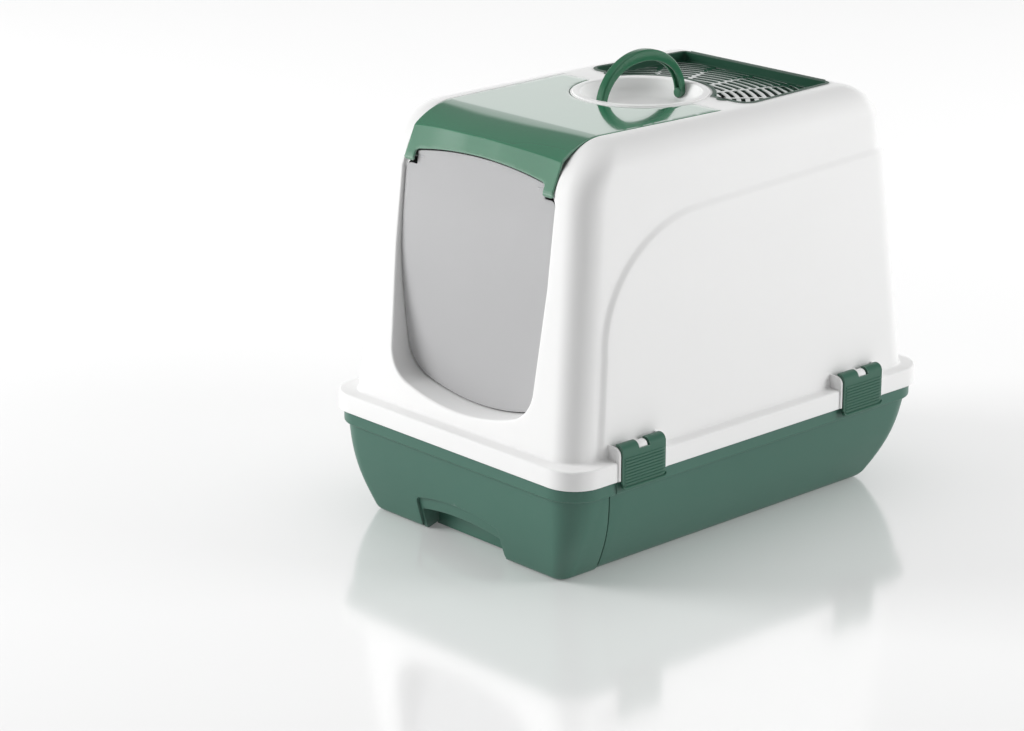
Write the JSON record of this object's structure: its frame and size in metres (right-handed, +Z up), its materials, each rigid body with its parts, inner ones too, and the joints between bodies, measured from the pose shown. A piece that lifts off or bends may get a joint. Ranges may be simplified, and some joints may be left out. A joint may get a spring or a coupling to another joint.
{
  "type": "cat litter box with hood",
  "caption": "Covered cat litter box with a pull-out litter drawer, clip-on hood, lift-up visor, swinging door flap, folding carry handle and vented filter cover.",
  "frame": {"origin": "floor level, under the middle of the hood's rim", "axes": "+Z up, the door faces -Y, the length runs along Y, X is across and the box is symmetric about x = 0"},
  "size_m": [0.3942, 0.54, 0.49],
  "materials": {
    "hood_white": "satin injection-moulded polypropylene",
    "green_plastic": "glossy injection-moulded polypropylene",
    "base_green": "satin injection-moulded polypropylene",
    "flap_smoke": "smoked translucent plastic",
    "pin_steel": "plain turned",
    "charcoal": "charcoal-loaded fibre pad"
  },
  "bodies": {
    "tub": {"base_tub": "base_green"},
    "drawer": {"drawer_front": "base_green", "litter_tray": "base_green"},
    "hood": {"hood_shell": "hood_white", "handle_dish": "hood_white", "filter_holder": "hood_white", "charcoal_filter": "charcoal", "handle_pin_front": "pin_steel", "handle_pin_rear": "pin_steel", "latch_axle_front_right": "pin_steel", "latch_axle_front_left": "pin_steel", "latch_axle_rear_right": "pin_steel", "latch_axle_rear_left": "pin_steel"},
    "vent": {"vent_cover": "green_plastic"},
    "visor": {"visor": "green_plastic", "visor_pin_left": "pin_steel", "visor_pin_right": "pin_steel"},
    "flap": {"door_flap": "flap_smoke", "flap_pin_left": "pin_steel", "flap_pin_right": "pin_steel"},
    "handle": {"carry_handle": "green_plastic"},
    "latch_front_right": {"latch_front_right": "green_plastic"},
    "latch_front_left": {"latch_front_left": "green_plastic"},
    "latch_rear_right": {"latch_rear_right": "green_plastic"},
    "latch_rear_left": {"latch_rear_left": "green_plastic"}
  },
  "joints": [
    {"name": "drawer_slide", "type": "slide", "parent": "tub", "child": "drawer", "axis": [0, -1, 0], "range_m": [0, 0.36]},
    {"name": "hood_lift", "type": "slide", "parent": "tub", "child": "hood", "axis": [0, 0, 1], "range_m": [0, 0.15]},
    {"name": "visor_hinge", "type": "hinge", "parent": "hood", "child": "visor", "pos_m": [0, 0.003, 0.4415], "axis": [-1, 0, 0], "range_deg": [0, 95]},
    {"name": "flap_hinge", "type": "hinge", "parent": "visor", "child": "flap", "pos_m": [0, -0.217, 0.397], "axis": [-1, 0, 0], "range_deg": [-70, 70]},
    {"name": "handle_fold", "type": "hinge", "parent": "hood", "child": "handle", "pos_m": [0, 0.0105, 0.435], "axis": [0, 1, 0], "range_deg": [-84, 84]},
    {"name": "vent_hinge", "type": "hinge", "parent": "hood", "child": "vent", "pos_m": [0, 0.1892, 0.44595], "axis": [-1, 0, 0], "range_deg": [0, 70]},
    {"name": "latch_front_right_hinge", "type": "hinge", "parent": "hood", "child": "latch_front_right", "pos_m": [0.1875, -0.174, 0.1425], "axis": [0, -1, 0], "range_deg": [0, 90]},
    {"name": "latch_front_left_hinge", "type": "hinge", "parent": "hood", "child": "latch_front_left", "pos_m": [-0.1875, -0.174, 0.1425], "axis": [0, 1, 0], "range_deg": [0, 90]},
    {"name": "latch_rear_right_hinge", "type": "hinge", "parent": "hood", "child": "latch_rear_right", "pos_m": [0.1875, 0.158, 0.1425], "axis": [0, -1, 0], "range_deg": [0, 90]},
    {"name": "latch_rear_left_hinge", "type": "hinge", "parent": "hood", "child": "latch_rear_left", "pos_m": [-0.1875, 0.158, 0.1425], "axis": [0, 1, 0], "range_deg": [0, 90]}
  ]
}
